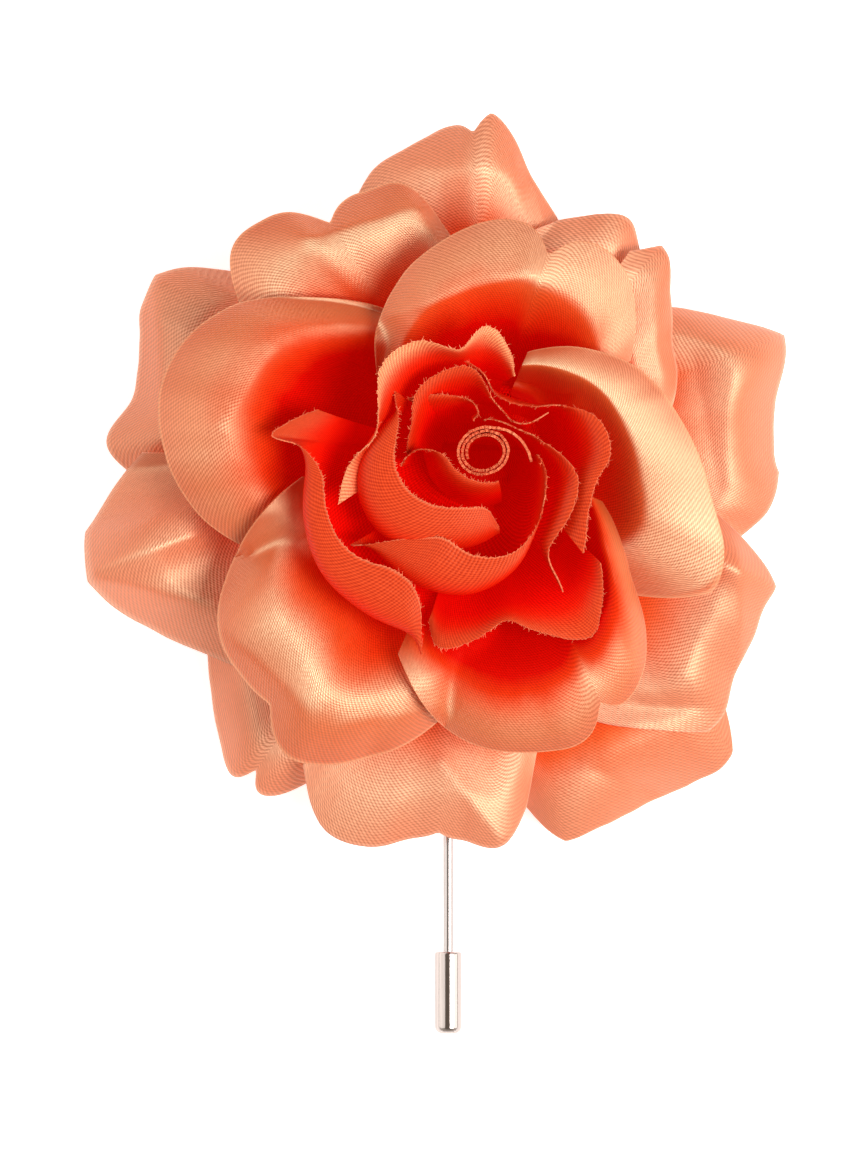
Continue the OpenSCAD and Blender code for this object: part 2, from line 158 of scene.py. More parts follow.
# Standing petals: how wide the foot is for its rim, then a row for each fold of the rim: bearing, foot,
# belly and rim reach, rim height. Their bellies are fuller and their ends longer than the CAD walls'.
STANDING = {
    "inner_petal_1": [0.9, [166, 21, 33, 40.3, 86], [172, 21.2, 35, 47, 88], [176, 21.4, 37, 50, 89],
                      [179, 21.4, 39, 43, 92], [188, 21.8, 41, 38.6, 94], [203, 21.4, 44, 39.8, 95],
                      [217, 21.8, 46.5, 39.4, 95], [234, 21.8, 46.5, 35, 96], [246, 21, 45, 38, 95],
                      [253, 20.6, 44, 50, 90]],
    "inner_petal_2": [0.8, [200, 17.8, 27.4, 36.6, 89], [186, 18, 26, 32, 92], [173, 18.4, 25, 26, 96],
                      [158, 18.4, 24, 27, 98], [140, 18, 24.4, 31.4, 97], [122, 18, 24, 30.4, 96],
                      [104, 18, 22, 24.6, 98], [89, 18, 22, 29.4, 97], [76, 17.8, 19.4, 24.4, 94],
                      [68, 17.4, 17.6, 19, 90]],
    "inner_petal_3": [1.0, [252, 26, 36, 42, 85], [257, 26, 37.5, 47.5, 89], [266, 26, 37, 45, 91],
                      [277, 26, 35.5, 40.4, 93], [286, 26, 36, 44, 92], [299, 26, 37, 50.4, 89],
                      [307, 26, 36, 46, 89], [316, 25, 33, 38, 90]],
    "inner_petal_4": [0.9, [314, 18.6, 23.4, 33.6, 90], [328, 18.2, 21.6, 28.8, 92], [344, 18, 21, 27.4, 94],
                      [0, 18, 22.4, 29.8, 94], [17, 18, 21.6, 27.4, 93], [31, 17.8, 20, 20.4, 90],
                      [42, 16, 16.4, 15.6, 90], [60, 14, 14.2, 13.0, 91], [80, 14, 14.4, 13.9, 93],
                      [91, 15, 16.8, 18.2, 94], [102, 16, 19, 21.7, 94]],
    "small_petal_1": [0.95, [190, 17, 19, 20.1, 88], [184, 16.5, 18, 18.4, 90], [179, 15.5, 16.5, 15.4, 92],
                      [180, 14.5, 13.6, 11.6, 94], [190, 14, 12, 9.2, 95], [208, 14, 11.6, 8.2, 95],
                      [235, 13.5, 11, 7.6, 95], [265, 13, 10.4, 7.4, 95], [295, 12.4, 10, 7.8, 94]],
    "small_petal_2": [1.0, [146, 12, 17, 22, 90], [136, 11, 15, 19, 91], [124, 10.4, 13, 16, 91],
                      [113, 9.8, 12, 13.6, 91], [102, 9.4, 10.6, 11, 92], [99, 9, 9.4, 9, 92],
                      [110, 8.6, 8.4, 7.6, 92]],
    "small_petal_3": [0.95, [299, 16.2, 25, 38, 84], [303, 16, 22.4, 28, 90], [326, 15.2, 19.4, 25, 94],
                      [345, 14.2, 18, 22.6, 96], [5, 12, 13.6, 15, 97], [14, 10.6, 11.8, 12.6, 95],
                      [34, 9.4, 9.4, 9.4, 94], [62, 8.4, 8.2, 8.0, 94], [92, 8, 7.6, 7.3, 93]],
    "small_petal_4": [0.95, [215, 18.6, 32, 38.6, 88], [226, 18, 34, 29, 92], [236, 17.6, 35, 24.6, 94],
                      [246, 17, 35, 22.6, 95], [264, 16, 33.4, 24.6, 95], [284, 14.2, 28, 25, 95],
                      [303, 12.4, 21, 22, 94], [324, 11.4, 16, 17.8, 94], [344, 10.8, 13, 14.8, 93],
                      [356, 10.6, 11.6, 12.4, 92]],
    "small_petal_5": [0.95, [182, 13, 16, 18.4, 86], [160, 12.6, 16, 18.4, 91], [138, 12.4, 16.2, 21.2, 94],
                      [115, 12.4, 16, 21, 95], [98, 12, 15, 19.6, 96], [82, 12, 12, 12.6, 95],
                      [62, 11, 10.2, 9.9, 94], [44, 10.6, 9.8, 9.6, 93], [32, 11.4, 12, 12, 92],
                      [31, 12.4, 15, 17.6, 90]],
    "small_petal_6": [0.95, [146, 15, 20, 25.6, 91], [158, 15, 22, 21.8, 95], [172, 15, 26, 20.8, 96],
                      [188, 14.8, 29.6, 21.2, 96], [206, 14, 31.4, 20.2, 96], [226, 13, 30, 17.6, 96],
                      [250, 12.6, 25, 14.2, 96], [272, 12, 21, 13.6, 94], [281, 12, 19, 18, 91]],
}


def even(values, t):
    """Smooth value at shares t along a row of evenly spaced values."""
    v = np.array([2 * values[0] - values[1], *values, 2 * values[-1] - values[-2]], float)
    n = len(values) - 1
    s = np.clip(t, 0, 1) * n
    i = np.minimum(np.floor(s).astype(int), n - 1)
    f = s - i
    a, b, c, d = v[i], v[i + 1], v[i + 2], v[i + 3]
    return b + f * (c - a + f * (2 * a - 5 * b + 4 * c - d + f * (3 * (b - c) + d - a))) / 2


def through(v, t):
    """Smooth curve through three values, at the start, the middle and the end."""
    return v[0] * (1 - t) * (1 - 2 * t) + 4 * v[1] * t * (1 - t) + v[2] * t * (2 * t - 1)


def soft_max(a, b):
    """The larger of two heights, with the change from one to the other rounded."""
    return (a + b + np.sqrt((a - b) ** 2 + ROUNDING ** 2)) / 2


def rim(p, u, cut=False):
    """Reach of a flat petal's rim, with its corners and its notch where it is the cut outline."""
    reach = even(p.reach, u)
    if cut:
        reach = reach - p.notch_deep * np.exp(-np.abs((u - p.notch_at) / p.notch_wide) ** 1.3)
        for row, at, out, wide in CORNERS:
            if FLAT[row] is p:
                reach = reach + out * np.exp(-np.abs((u - at) / wide))
    return (1 - p.ring * NEARER) * FLOWER_R / 100 * reach - 0.15 * CLOTH


def lone(k, u, f):
    """Height of a flat petal by itself, u across it and f out to its rim. An outer petal rises at once
    from its root, a middle one late, and past its crest each falls to its rim."""
    p = FLAT[k]
    base = MIDDLE_Z if p.ring else OUTER_Z
    crest = np.maximum(through(p.crest, u) * FLOWER_H / 100, base + 1)
    at, g = p.crest_at - CREST_IN[p.ring], np.minimum(f, 1.1)
    rise = np.sin(np.pi / 2 * (np.clip(g, 0, at) / at) ** LATE[p.ring])
    past = np.clip((g - at) / (1 - at), 0, 2)
    fall = FALL_SHARE[p.ring] * p.fall * FLOWER_H / 100 * (0.3 + 0.7 * np.sin(np.pi * u))
    z = np.where(g < at, base + (crest - base) * rise, crest - fall * past ** 1.5)
    for row, root, end, high, wide in FOLDS:
        if row == k:
            z = z + high * FLOWER_H / 100 * g * np.exp(-((u - root - (end - root) * g) / wide) ** 2)
    reach = ROOT_R + (rim(p, u) - ROOT_R) * f
    turn = np.radians(p.start + (p.end - p.start) * u)
    x, y = reach * np.cos(turn) * 100 / FLOWER_R, reach * np.sin(turn) * 100 / FLOWER_R
    for row, x0, y0, x1, y1, high, wide in CREASES:
        if row == k:
            run = math.hypot(x1 - x0, y1 - y0)
            ex, ey = (x1 - x0) / run, (y1 - y0) / run
            t = ((x - x0) * ex + (y - y0) * ey) / run
            aside = np.abs((y - y0) * ex - (x - x0) * ey) * FLOWER_R / 100
            beyond = np.maximum(np.maximum(-t, t - 1), 0) * run * FLOWER_R / 100
            # The ridge of a crease is rounded over 0.2 mm
            z = z + high * np.exp(-np.sqrt(aside ** 2 + beyond ** 2 + 0.2 ** 2) / wide)
    # No part of the cloth dips into the table
    return np.maximum(z, 0.55 * CLOTH)


def place(k, r, b):
    """Where the point at reach r and bearing b is on petal k: the share across, the same kept between
    its sides, and the share out."""
    p = FLAT[k]
    middle = (p.start + p.end) / 2
    a = b - 360 * np.round((b - middle) / 360)
    u = (a - p.start) / (p.end - p.start)
    v = np.clip(u, 0, 1)
    return u, v, (r - ROOT_R) / (rim(p, v) - ROOT_R)


def lie(k, r, b):
    """Height of petal k at reach r and bearing b, lifted over the petals it lies on. Off the petal's own
    sides and rim the surface drops away, so that it lifts nothing there."""
    p = FLAT[k]
    u, v, f = place(k, r, b)
    z = lone(k, v, f)
    for j in p.under:
        _, vj, fj = place(j, r, b)
        span = rim(FLAT[j], vj) - ROOT_R
        slope = (lone(j, vj, fj + 0.08) - lone(j, vj, fj - 0.08)) / (2 * 0.08 * span)
        room = ROOM[FLAT[j].ring] * STEP * np.minimum(np.sqrt(1 + slope ** 2), STEEPEST_ROOM)
        z = soft_max(z, lie(j, r, b) + room)
    side = np.abs(u - v) * (p.end - p.start) / SIDE_EASE
    past = np.maximum(f - 1, 0) / RIM_EASE
    return z - STEP * (side ** 2 + past ** 2)


def flat_points(k, u, f):
    """Points of flat petal k in millimetres, u across it and f out to its cut rim."""
    p = FLAT[k]
    b = p.start + (p.end - p.start) * u
    r = ROOT_R + (rim(p, u, True) - ROOT_R) * f
    a = np.radians(b)
    return np.stack([ROLL[0] + r * np.cos(a), ROLL[1] + r * np.sin(a), lie(k, r, b)], -1)


def standing_points(folds, u, v):
    """Points of a standing petal in millimetres, u along its rim and v up from its foot."""
    bearings, foot, belly, lip, heights = zip(*folds)
    mid = bearings[len(folds) // 2]
    b = even([turn - 360 * round((turn - mid) / 360) for turn in bearings], u)
    top = even(heights, u) * FLOWER_H / 100
    r = through([even(reach, u) for reach in (foot, belly, lip)], v) * FLOWER_R / 100
    a = np.radians(b)
    z = SMALL_Z + (top - SMALL_Z) * np.sin(np.pi / 2 * v) ** 0.9
    return np.stack([ROLL[0] + r * np.cos(a), ROLL[1] + r * np.sin(a), z], -1)


def linear(colour):
    """The linear RGBA of an sRGB hex colour."""
    c = [int(colour[i:i + 2], 16) / 255 for i in (1, 3, 5)]
    return [v / 12.92 if v <= 0.04045 else ((v + 0.055) / 1.055) ** 2.4 for v in c] + [1.0]


def add(tree, kind, inputs=None, stops=(), **settings):
    """One node of a material, with its settings, its (place, hex colour) stops if it is a ramp, and its
    inputs as values or as sockets that feed it."""
    node = tree.nodes.new(kind)
    for key, value in settings.items():
        setattr(node, key, value)
    for n, (at, colour) in enumerate(stops):
        if n == len(node.color_ramp.elements):
            node.color_ramp.elements.new(at)
        node.color_ramp.elements[n].position = at
        node.color_ramp.elements[n].color = linear(colour)
    for key, value in (inputs or {}).items():
        if isinstance(value, bpy.types.NodeSocket):
            tree.links.new(value, node.inputs[key])
        else:
            node.inputs[key].default_value = value
    return node


def new_material(name):
    """An empty material and its node tree."""
    material = bpy.data.materials.new(name)
    material.use_nodes = True
    material.node_tree.nodes.clear()
    return material, material.node_tree


def satin_cloth(name, dye_and_shade_stops, painted_highlight_colour, cut_edge, tilt, shine, ribs_at):
    """Polyester satin: a broad painted peach highlight where the cloth lies level, over a saturated coral
    dye with painted deep red shade toward the root for the shade in the cups, and the slanted ribs of its
    weave.
    The real ribs are about 0.2 mm apart and are drawn about twice as coarse, so that they show. tilt is how
    far the cloth may lean and keep its painted highlight, shine the gloss near the rim, ribs_at the slant in
    degrees."""
    material, tree = new_material(name)
    cloth = add(tree, "ShaderNodeUVMap", uv_map="cloth").outputs["UV"]
    share = add(tree, "ShaderNodeUVMap", uv_map="share").outputs["UV"]
    out = add(tree, "ShaderNodeSeparateXYZ", {"Vector": share}).outputs["Y"]
    # Ribs slanted across the warp, and the weft threads that break them up
    slant = add(tree, "ShaderNodeMapping", {"Vector": cloth, "Rotation": (0, 0, math.radians(ribs_at))})
    ribs = add(tree, "ShaderNodeTexWave", {"Vector": slant.outputs["Vector"], "Scale": BAND / RIB,
               "Distortion": 1.1, "Detail": 2.0, "Detail Scale": 1.2}, bands_direction="X")
    weft = add(tree, "ShaderNodeTexWave", {"Vector": cloth, "Scale": BAND / WEFT, "Distortion": 1.3,
               "Detail": 1.5, "Detail Scale": 0.8}, bands_direction="Y")
    weave = add(tree, "ShaderNodeMath", {0: weft.outputs["Fac"], 1: 0.7, 2: ribs.outputs["Fac"]},
                operation="MULTIPLY_ADD").outputs[0]
    # Slow drift of the dye, and slubs in the thread
    drift = add(tree, "ShaderNodeTexNoise", {"Vector": cloth, "Scale": 0.12, "Detail": 3.0}).outputs["Fac"]
    slub = add(tree, "ShaderNodeTexNoise", {"Vector": cloth, "Scale": 1.6, "Detail": 3.0}).outputs["Fac"]
    moved = add(tree, "ShaderNodeMath", {0: drift, 1: 0.14, 2: out}, operation="MULTIPLY_ADD").outputs[0]
    at = add(tree, "ShaderNodeMath", {0: moved, 1: 0.07}, operation="SUBTRACT").outputs[0]
    dye_and_shade = add(tree, "ShaderNodeValToRGB", {"Fac": at}, dye_and_shade_stops).outputs["Color"]
    # Painted highlight: a peach colour mixed into the base colour where the cloth lies level, none in the
    # depths, strongest on the tops of the threads.
    # A Mix node of colours takes its factor at input 0 and the colours at 6 and 7.
    stands = add(tree, "ShaderNodeNewGeometry").outputs["Normal"]
    upright = add(tree, "ShaderNodeSeparateXYZ", {"Vector": stands}).outputs["Z"]
    level = add(tree, "ShaderNodeMath", {0: upright}, operation="ABSOLUTE").outputs[0]
    near = add(tree, "ShaderNodeMapRange", {"Value": level, "From Min": 1 - tilt,
               "From Max": 1.0}).outputs[0]
    flat = add(tree, "ShaderNodeMath", {0: near, 1: 1.8}, operation="POWER").outputs[0]
    high = add(tree, "ShaderNodeMapRange", {"Value": at, "From Min": 0.56, "From Max": 0.85},
               interpolation_type="SMOOTHSTEP").outputs[0]
    painted_highlight_mask = add(tree, "ShaderNodeMath", {0: flat, 1: high}, operation="MULTIPLY").outputs[0]
    threads = add(tree, "ShaderNodeMath", {0: slub, 1: 0.9, 2: weave}, operation="MULTIPLY_ADD").outputs[0]
    tops = add(tree, "ShaderNodeMapRange", {"Value": threads, "From Min": 0.3, "From Max": 2.2,
               "To Min": 0.20, "To Max": 1.25}).outputs[0]
    painted_highlight = add(tree, "ShaderNodeMath", {0: painted_highlight_mask, 1: tops}, operation="MULTIPLY").outputs[0]
    dye_shade_and_highlight = add(tree, "ShaderNodeMix", {0: painted_highlight, 6: dye_and_shade, 7: linear(painted_highlight_colour)}, data_type="RGBA").outputs[2]
    edge = add(tree, "ShaderNodeMapRange", {"Value": out, "From Min": 0.988, "From Max": 1.0}).outputs[0]
    cut = add(tree, "ShaderNodeMix", {0: edge, 6: dye_shade_and_highlight, 7: linear(cut_edge)},
              data_type="RGBA").outputs[2]
    shade = add(tree, "ShaderNodeMapRange", {"Value": threads, "From Min": 0.3, "From Max": 2.2,
                "To Min": 0.65, "To Max": 1.23}).outputs[0]
    grey = add(tree, "ShaderNodeCombineColor", {0: shade, 1: shade, 2: shade}).outputs[0]
    colour = add(tree, "ShaderNodeMix", {0: 1.0, 6: cut, 7: grey}, data_type="RGBA",
                 blend_type="MULTIPLY").outputs[2]
    height = add(tree, "ShaderNodeMath", {0: slub, 1: 0.5, 2: weave}, operation="MULTIPLY_ADD").outputs[0]
    bump = add(tree, "ShaderNodeBump", {"Strength": 0.5, "Distance": 0.00004, "Height": height})
    rough = add(tree, "ShaderNodeMapRange", {"Value": slub, "To Min": 0.33, "To Max": 0.45}).outputs[0]
    gloss = add(tree, "ShaderNodeMapRange", {"Value": high, "To Min": 0.04, "To Max": shine}).outputs[0]
    deep = add(tree, "ShaderNodeMapRange", {"Value": high, "To Min": 0.16, "To Max": 0.02}).outputs[0]
    # Painted glow: a red emission, strongest in the depths, stands in for the light that comes through the
    # thin cloth into the depths of the rose
    shader = add(tree, "ShaderNodeBsdfPrincipled", {"Base Color": colour, "Roughness": rough,
                 "Normal": bump.outputs["Normal"], "IOR": 1.6, "Specular IOR Level": gloss,
                 "Specular Tint": linear("#FFC9A0"), "Anisotropic": 0.3,
                 "Emission Color": linear("#FF0800"), "Emission Strength": deep})
    add(tree, "ShaderNodeOutputMaterial", {"Surface": shader.outputs[0]})
    return material


def polished_steel(name, tones, streak):
    """Nickel plated steel: a bright mirror with a warm grey tone, faint lines drawn along the wire and
    a little handling haze. streak is how many of the lines go to a metre on each axis."""
    material, tree = new_material(name)
    place_in = add(tree, "ShaderNodeTexCoord").outputs["Object"]
    drawn = add(tree, "ShaderNodeMapping", {"Vector": place_in, "Scale": streak})
    lines = add(tree, "ShaderNodeTexNoise", {"Vector": drawn.outputs["Vector"], "Scale": 1.0,
                "Detail": 4.0}).outputs["Fac"]
    haze = add(tree, "ShaderNodeTexNoise", {"Vector": place_in, "Scale": 260.0,
               "Detail": 3.0}).outputs["Fac"]
    rough = add(tree, "ShaderNodeMapRange", {"Value": haze, "To Min": 0.08, "To Max": 0.16}).outputs[0]
    tone = add(tree, "ShaderNodeValToRGB", {"Fac": lines},
               ((0.3, tones[0]), (0.7, tones[1]))).outputs["Color"]
    bump = add(tree, "ShaderNodeBump", {"Strength": 0.03, "Distance": 0.00001, "Height": lines})
    shader = add(tree, "ShaderNodeBsdfPrincipled", {"Base Color": tone, "Metallic": 1.0,
                 "Roughness": rough, "Normal": bump.outputs["Normal"]})
    add(tree, "ShaderNodeOutputMaterial", {"Surface": shader.outputs[0]})
    return material


def wool_felt(name):
    """Pressed felt in the flower's colour: matt, with short crossing fibres and a soft nap. The fibres
    are about 0.4 mm apart and the tufts 2.4 mm."""
    material, tree = new_material(name)
    place_in = add(tree, "ShaderNodeTexCoord").outputs["Object"]
    fibres = add(tree, "ShaderNodeTexNoise", {"Vector": place_in, "Scale": 2600.0, "Detail": 5.0,
                 "Distortion": 1.5}).outputs["Fac"]
    tufts = add(tree, "ShaderNodeTexNoise", {"Vector": place_in, "Scale": 420.0,
                "Detail": 3.0}).outputs["Fac"]
    colour = add(tree, "ShaderNodeValToRGB", {"Fac": tufts},
                 ((0.3, "#C9533A"), (0.7, "#E07A5C"))).outputs["Color"]
    height = add(tree, "ShaderNodeMath", {0: tufts, 1: 1.5, 2: fibres}, operation="MULTIPLY_ADD").outputs[0]
    bump = add(tree, "ShaderNodeBump", {"Strength": 0.8, "Distance": 0.00012, "Height": height})
    shader = add(tree, "ShaderNodeBsdfPrincipled", {"Base Color": colour, "Roughness": 0.95,
                 "Normal": bump.outputs["Normal"], "Specular IOR Level": 0.2, "Sheen Weight": 0.6,
                 "Sheen Roughness": 0.6, "Sheen Tint": linear("#FFD0BC")})
    add(tree, "ShaderNodeOutputMaterial", {"Surface": shader.outputs[0]})
    return material


def white_table(name):
    """The studio's white sweep: flat matt white with a barely seen grain."""
    material, tree = new_material(name)
    place_in = add(tree, "ShaderNodeTexCoord").outputs["Object"]
    grain = add(tree, "ShaderNodeTexNoise", {"Vector": place_in, "Scale": 300.0,
                "Detail": 2.0}).outputs["Fac"]
    colour = add(tree, "ShaderNodeValToRGB", {"Fac": grain},
                 ((0.3, "#F4F4F4"), (0.7, "#F9F9F9"))).outputs["Color"]
    shader = add(tree, "ShaderNodeBsdfPrincipled", {"Base Color": colour, "Roughness": 0.9,
                 "Specular IOR Level": 0.1, "Emission Color": linear("#FFFFFF"), "Emission Strength": 0.62})
    add(tree, "ShaderNodeOutputMaterial", {"Surface": shader.outputs[0]})
    return material


def smooth_noise(u, swings, seed):
    """Soft random line along u, from -1 to 1, with about that many swings."""
    return even(np.random.default_rng(seed).uniform(-1, 1, int(swings) + 4), u)


def length_of(points, axis):
    """Lengths of the lines of a grid of points along one axis."""
    return np.linalg.norm(np.diff(points, axis=axis), axis=-1).sum(axis=axis)


def lay_cloth(node, surface, across_n, out_n, material, waves, seed, fray=0.0, thickness=SATIN_T,
              red_shade_reach=1.0):
    """The petal of thin cloth that shows for a CAD node. It starts as a flat grid, is laid on
    surface(u, v), gets fine waves of its own (flutes about 7 mm wide and ripples about 2.6 mm), a wall
    of cloth thickness, and where fray is given a rough rim with loose threads. The UV map "cloth" is in
    millimetres along the cloth, for the weave, and "share" runs from 0 to 1 across and out, for the
    dye with its painted red shade and painted highlight. red_shade_reach bends share to spread the painted
    shade."""
    u, v = np.meshgrid(np.linspace(0, 1, across_n + 1), np.linspace(0, 1, out_n + 1), indexing="ij")
    points = surface(u, v)
    along, outward = np.gradient(points, axis=0), np.gradient(points, axis=1)
    normal = np.cross(along, outward)
    normal /= np.linalg.norm(normal, axis=-1, keepdims=True)
    across = length_of(points, 0)
    flutes = smooth_noise(u + 0.05 * np.sin(5 * v), across.max() / 7, seed)
    ripples = smooth_noise(u - 0.03 * v, across.max() / 2.6, seed + 50)
    points = points + normal * (waves * (flutes * v ** 0.8 + 0.35 * ripples * v ** 2))[..., None]
    if fray:
        step = outward[:, -1] / np.linalg.norm(outward[:, -1], axis=-1, keepdims=True)
        rough = np.random.default_rng(seed + 9).uniform(-1, 1, across_n + 1) * 0.12 * fray
        points[:, -1] += step * rough[:, None]
    across, down = length_of(points, 0).max(), length_of(points, 1).max()
    bpy.ops.object.select_all(action="DESELECT")
    bpy.ops.mesh.primitive_grid_add(x_subdivisions=across_n, y_subdivisions=out_n, size=1, calc_uvs=False)
    piece = bpy.context.object
    piece.name = piece.data.name = node + "_cloth"
    mesh = piece.data
    flat = np.empty(len(mesh.vertices) * 3)
    mesh.vertices.foreach_get("co", flat)
    flat = flat.reshape(-1, 3)
    i = np.rint((flat[:, 0] + 0.5) * across_n).astype(int)
    j = np.rint((flat[:, 1] + 0.5) * out_n).astype(int)
    mesh.vertices.foreach_set("co", (points[i, j] * MM).ravel())
    corner = np.empty(len(mesh.loops), int)
    mesh.loops.foreach_get("vertex_index", corner)
    for layer, wide, tall in (("cloth", u * across, v * down), ("share", u, v ** red_shade_reach)):
        uv = mesh.uv_layers.new(name=layer)
        uv.data.foreach_set("uv", np.stack([wide[i, j][corner], tall[i, j][corner]], -1).ravel())
    wall = piece.modifiers.new("cloth thickness", "SOLIDIFY")
    wall.thickness = thickness * MM
    wall.offset = 0
    bpy.ops.object.modifier_apply(modifier=wall.name)
    if fray:
        loose_threads(mesh, points, normal, fray, seed)
    bpy.ops.object.shade_smooth_by_angle(angle=math.radians(50))
    mesh.materials.append(material)
    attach(piece, "flower")
    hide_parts(node)


def loose_threads(mesh, points, normal, fray, seed):
    """Short loose threads standing off the rim, thin three-sided hairs that taper to a point. Their
    lengths and thickness are in millimetres, and their UV maps give them the colour of the cut edge."""
    draw = random.Random(seed * 31 + 5)
    grown = bmesh.new()
    grown.from_mesh(mesh)
    layers = [grown.loops.layers.uv[n] for n in ("cloth", "share")]
    rim_line = points[:, -1]
    lengths, thick, per_point = (0.16, 0.22, 0.3, 0.5), 0.038, 0.8
    for _ in range(int(len(rim_line) * per_point * fray)):
        at = draw.uniform(0.01, 0.99)
        k = int(at * (len(rim_line) - 1))
        outward = Vector(points[k, -1] - points[k, -2]).normalized()
        along = Vector(rim_line[min(k + 1, len(rim_line) - 1)] - rim_line[max(k - 1, 0)]).normalized()
        off = Vector(normal[k, -1])
        heading = (outward + along * draw.uniform(-1.2, 1.2) + off * draw.uniform(-0.5, 0.5)).normalized()
        bend = along * draw.uniform(-0.9, 0.9) + off * draw.uniform(-0.4, 0.4)
        reach = draw.choice(lengths) * draw.uniform(0.7, 1.2)
        centre = Vector(rim_line[k]) - outward * 0.1
        rings = []
        for n in range(4):
            t = n / 3
            place_at = centre + heading * reach * t + bend * reach * 0.5 * t * t
            side = heading.cross(off).normalized()
            r = thick * (1 - 0.6 * t)
            rings.append([grown.verts.new((place_at + side * r * math.cos(q) + off * r * math.sin(q)) * MM)
                          for q in (0, 2.094, 4.189)])
        faces = [grown.faces.new(rings[0][::-1]), grown.faces.new(rings[-1])]
        for low, high in zip(rings, rings[1:]):
            faces += [grown.faces.new((low[q], low[(q + 1) % 3], high[(q + 1) % 3], high[q]))
                      for q in range(3)]
        for face in faces:
            for loop in face.loops:
                loop[layers[0]].uv = (at * 40, 20)
                loop[layers[1]].uv = (at, 1)
    grown.to_mesh(mesh)
    grown.free()


def standing_cloth(rows, u, v):
    """A standing petal, narrower toward its foot, with a skirt that drops between the ones round it."""
    up = np.clip((v - SKIRT_SHARE) / (1 - SKIRT_SHARE), 0, 1)
    narrow, *folds = rows
    wide = narrow + (1 - narrow) * up ** 0.7
    points = standing_points(folds, 0.5 + (u - 0.5) * wide, up)
    under = np.clip((SKIRT_SHARE - v) / SKIRT_SHARE, 0, 1)
    points[..., 0] += (ROLL[0] - points[..., 0]) * SKIRT_IN * under
    points[..., 1] += (ROLL[1] - points[..., 1]) * SKIRT_IN * under
    points[..., 2] -= SKIRT * under
    return points


def flat_cloth(row, u, v):
    """A flat petal, its root carried in under the heart's gathers."""
    inward = ROOT_IN / (rim(FLAT[row], u, True) - ROOT_R)
    return flat_points(row, u, v * (1 + inward) - inward)


def spiral_points(u, v):
    """The tight roll: a strip wound clockwise, its inner turns lower and its last end let go. u runs
    along the strip from the inside, v up it, and lengths are in millimetres."""
    turns, inner_r, wound_on, loose_end = 2.6, 1.7, 1.2, 0.09
    a = np.radians(204) - 2 * np.pi * turns * u
    loose = np.clip((u - 1 + loose_end) / loose_end, 0, 1)
    oval = 1 + 0.07 * np.sin(2 * a + 1)
    r = (inner_r + wound_on * u) * oval + 0.25 * v + 2.4 * loose ** 1.6
    # The cut rim wavers a little
    r = r + 0.035 * v ** 8 * smooth_noise(u, 170, 77)
    top = 0.93 * FLOWER_H - 1.2 * (1 - u) ** 1.5 + 0.35 * np.sin(a + 0.6) + 0.2 * np.sin(9 * u)
    z = SMALL_Z - 3 + (top - SMALL_Z + 3) * v
    return np.stack([ROLL[0] + r * np.cos(a), ROLL[1] - 0.1 + r * np.sin(a), z - 1.4 * v * loose], -1)


def gathered_heart(material):
    """The bundle of gathered cloth that the petals are sewn to: a drum with fine pleats. It ends
    where the skirts of the standing petals do, and they close over it."""
    bpy.ops.object.select_all(action="DESELECT")
    low, high = 5.0, CORE_TOP - 4.0
    pleats = 24
    bpy.ops.mesh.primitive_cylinder_add(vertices=120, radius=CORE_R * MM, depth=(high - low) * MM,
                                        location=(ROLL[0] * MM, ROLL[1] * MM, (low + high) / 2 * MM))
    piece = bpy.context.object
    piece.name = piece.data.name = "heart_gathers"
    bpy.ops.object.mode_set(mode="EDIT")
    bpy.ops.mesh.select_all(action="SELECT")
    bpy.ops.mesh.bevel(offset=0.0014, segments=4, affect="EDGES")
    bpy.ops.object.mode_set(mode="OBJECT")
    bpy.ops.object.transform_apply(location=True, rotation=True, scale=True)
    mesh = piece.data
    for vert in mesh.vertices:
        x, y = vert.co.x - ROLL[0] * MM, vert.co.y - ROLL[1] * MM
        r, a = math.hypot(x, y), math.atan2(y, x)
        pull = 1 - 0.02 * (1 + math.cos(pleats * a)) * min(r / (CORE_R * MM), 1)
        vert.co.x, vert.co.y = ROLL[0] * MM + x * pull, ROLL[1] * MM + y * pull
    for layer, wide in (("cloth", 1000.0), ("share", 0.0)):
        uv = mesh.uv_layers.new(name=layer)
        for loop in mesh.loops:
            co = mesh.vertices[loop.vertex_index].co
            around = math.atan2(co.y - ROLL[1] * MM, co.x - ROLL[0] * MM) * CORE_R * MM
            uv.data[loop.index].uv = (around * wide, co.z * wide)
    bpy.ops.object.shade_smooth_by_angle(angle=math.radians(60))
    mesh.materials.append(material)
    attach(piece, "flower")
    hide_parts("heart")


def back_felt(material):
    """The felt disc, with a softened and slightly uneven cut edge."""
    lowest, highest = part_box("felt_back")
    bpy.ops.object.select_all(action="DESELECT")
    middle = (lowest + highest) / 2
    radius = (highest.x - lowest.x) / 2
    teeth = 144
    bpy.ops.mesh.primitive_cylinder_add(vertices=teeth, radius=radius, depth=highest.z - lowest.z,
                                        location=middle)
    piece = bpy.context.object
    piece.name = piece.data.name = "back_felt"
    bpy.ops.object.mode_set(mode="EDIT")
    bpy.ops.mesh.select_all(action="SELECT")
    bpy.ops.mesh.bevel(offset=0.0003, segments=3, affect="EDGES")
    bpy.ops.object.mode_set(mode="OBJECT")
    bpy.ops.object.transform_apply(location=True, rotation=True, scale=True)
    pinked = np.random.default_rng(3).uniform(-1, 1, teeth)
    for vert in piece.data.vertices:
        x, y = vert.co.x - middle.x, vert.co.y - middle.y
        k = int((math.atan2(y, x) / (2 * math.pi) % 1) * teeth) % teeth
        pull = 1 - 0.006 * (1 + pinked[k]) * (math.hypot(x, y) / radius) ** 4
        vert.co.x, vert.co.y = middle.x + x * pull, middle.y + y * pull
    bpy.ops.object.shade_smooth_by_angle(angle=math.radians(50))
    piece.data.materials.append(material)
    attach(piece, "flower")
    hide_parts("felt_back")
